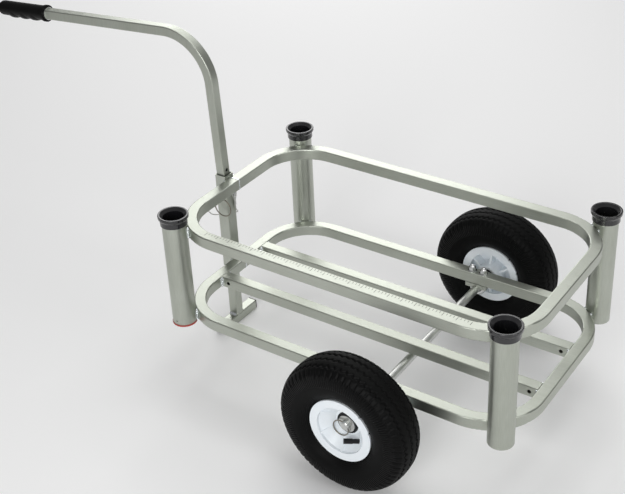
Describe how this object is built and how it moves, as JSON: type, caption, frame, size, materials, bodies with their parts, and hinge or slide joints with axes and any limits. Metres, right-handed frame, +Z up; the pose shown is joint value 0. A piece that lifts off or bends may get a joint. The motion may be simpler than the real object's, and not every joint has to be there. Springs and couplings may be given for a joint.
{
  "type": "beach fishing cart",
  "caption": "Small two-wheeled aluminium cart with an open two-loop basket, four upright rod tubes, balloon tyres and a bent pull handle.",
  "frame": {"origin": "bottom centre of the bounding box: on the ground, midway along the whole length and width", "axes": "+X along the cart to the rear, away from the pull handle; +Y to its right side; +Z up"},
  "size_m": [1.2942, 0.628, 0.6337],
  "materials": {
    "frame": "satin",
    "weld": "polished",
    "black_vinyl": "gloss",
    "red_trim": "gloss",
    "grip_rubber": "satin",
    "bright_steel": "polished",
    "axle_steel": "satin",
    "spring_wire": "satin",
    "tyre_rubber": "satin",
    "rim_plastic": "satin",
    "black_plastic": "satin",
    "tube_rubber": "matte"
  },
  "bodies": {
    "cart": {"axle": "axle_steel", "axle_collars": "axle_steel", "axle_saddles": "frame", "axle_washers": "axle_steel", "bottom_loop": "frame", "foot_bar": "frame", "foot_leg": "frame", "foot_plugs": "black_plastic", "front_left_rod_cap": "black_vinyl", "front_left_rod_tube": "frame", "front_left_tube_trim": "red_trim", "front_right_rod_cap": "black_vinyl", "front_right_rod_tube": "frame", "grip_collar": "bright_steel", "grip_spigot": "axle_steel", "hand_grip": "grip_rubber", "handle_tube": "frame", "lanyard_cord": "axle_steel", "lanyard_frame_eye": "axle_steel", "lanyard_frame_ferrule": "axle_steel", "lanyard_stud": "bright_steel", "left_slat": "frame", "leg_welds": "weld", "loop_seams": "weld", "post_welds": "weld", "rear_left_rod_cap": "black_vinyl", "rear_left_rod_tube": "frame", "rear_right_rod_cap": "black_vinyl", "rear_right_rod_tube": "frame", "receiver_post": "frame", "right_slat": "frame", "rod_tube_welds": "weld", "slat_welds": "weld", "top_loop": "frame", "u_bolt_nuts": "bright_steel", "u_bolt_washers": "bright_steel", "u_bolts": "bright_steel"},
    "left_wheel": {"left_bearings": "black_plastic", "left_inner_tube": "tube_rubber", "left_rim": "rim_plastic", "left_tyre": "tyre_rubber", "left_valve_cap": "black_plastic", "left_valve_stem": "black_plastic"},
    "right_wheel": {"right_bearings": "black_plastic", "right_inner_tube": "tube_rubber", "right_rim": "rim_plastic", "right_tyre": "tyre_rubber", "right_valve_cap": "black_plastic", "right_valve_stem": "black_plastic"},
    "left_cotter": {"left_ring_cotter": "spring_wire"},
    "right_cotter": {"right_ring_cotter": "spring_wire"},
    "handle_pin": {"handle_pin": "bright_steel", "lanyard_pin_eye": "axle_steel", "lanyard_pin_ferrule": "axle_steel"},
    "pin_ring": {"pin_ring": "spring_wire"}
  },
  "joints": [
    {"name": "left_wheel_spin", "type": "hinge", "parent": "cart", "child": "left_wheel", "pos_m": [0.37309, -0.274, 0.127], "axis": [0, 1, 0], "continuous": true},
    {"name": "right_wheel_spin", "type": "hinge", "parent": "cart", "child": "right_wheel", "pos_m": [0.37309, 0.274, 0.127], "axis": [0, 1, 0], "continuous": true},
    {"name": "left_cotter_swing", "type": "hinge", "parent": "cart", "child": "left_cotter", "pos_m": [0.37309, -0.2858, 0.127], "axis": [0.7193, 0, -0.6947], "range_deg": [-55, 0]},
    {"name": "right_cotter_swing", "type": "hinge", "parent": "cart", "child": "right_cotter", "pos_m": [0.37309, 0.2858, 0.127], "axis": [0.7193, 0, -0.6947], "range_deg": [0, 55]},
    {"name": "pin_pull", "type": "slide", "parent": "cart", "child": "handle_pin", "axis": [0, -1, 0], "range_m": [0, 0.036]},
    {"name": "pin_ring_swing", "type": "hinge", "parent": "handle_pin", "child": "pin_ring", "pos_m": [-0.08561, -0.0234, 0.302], "axis": [0.866, 0, 0.5], "range_deg": [-120, 10]}
  ]
}
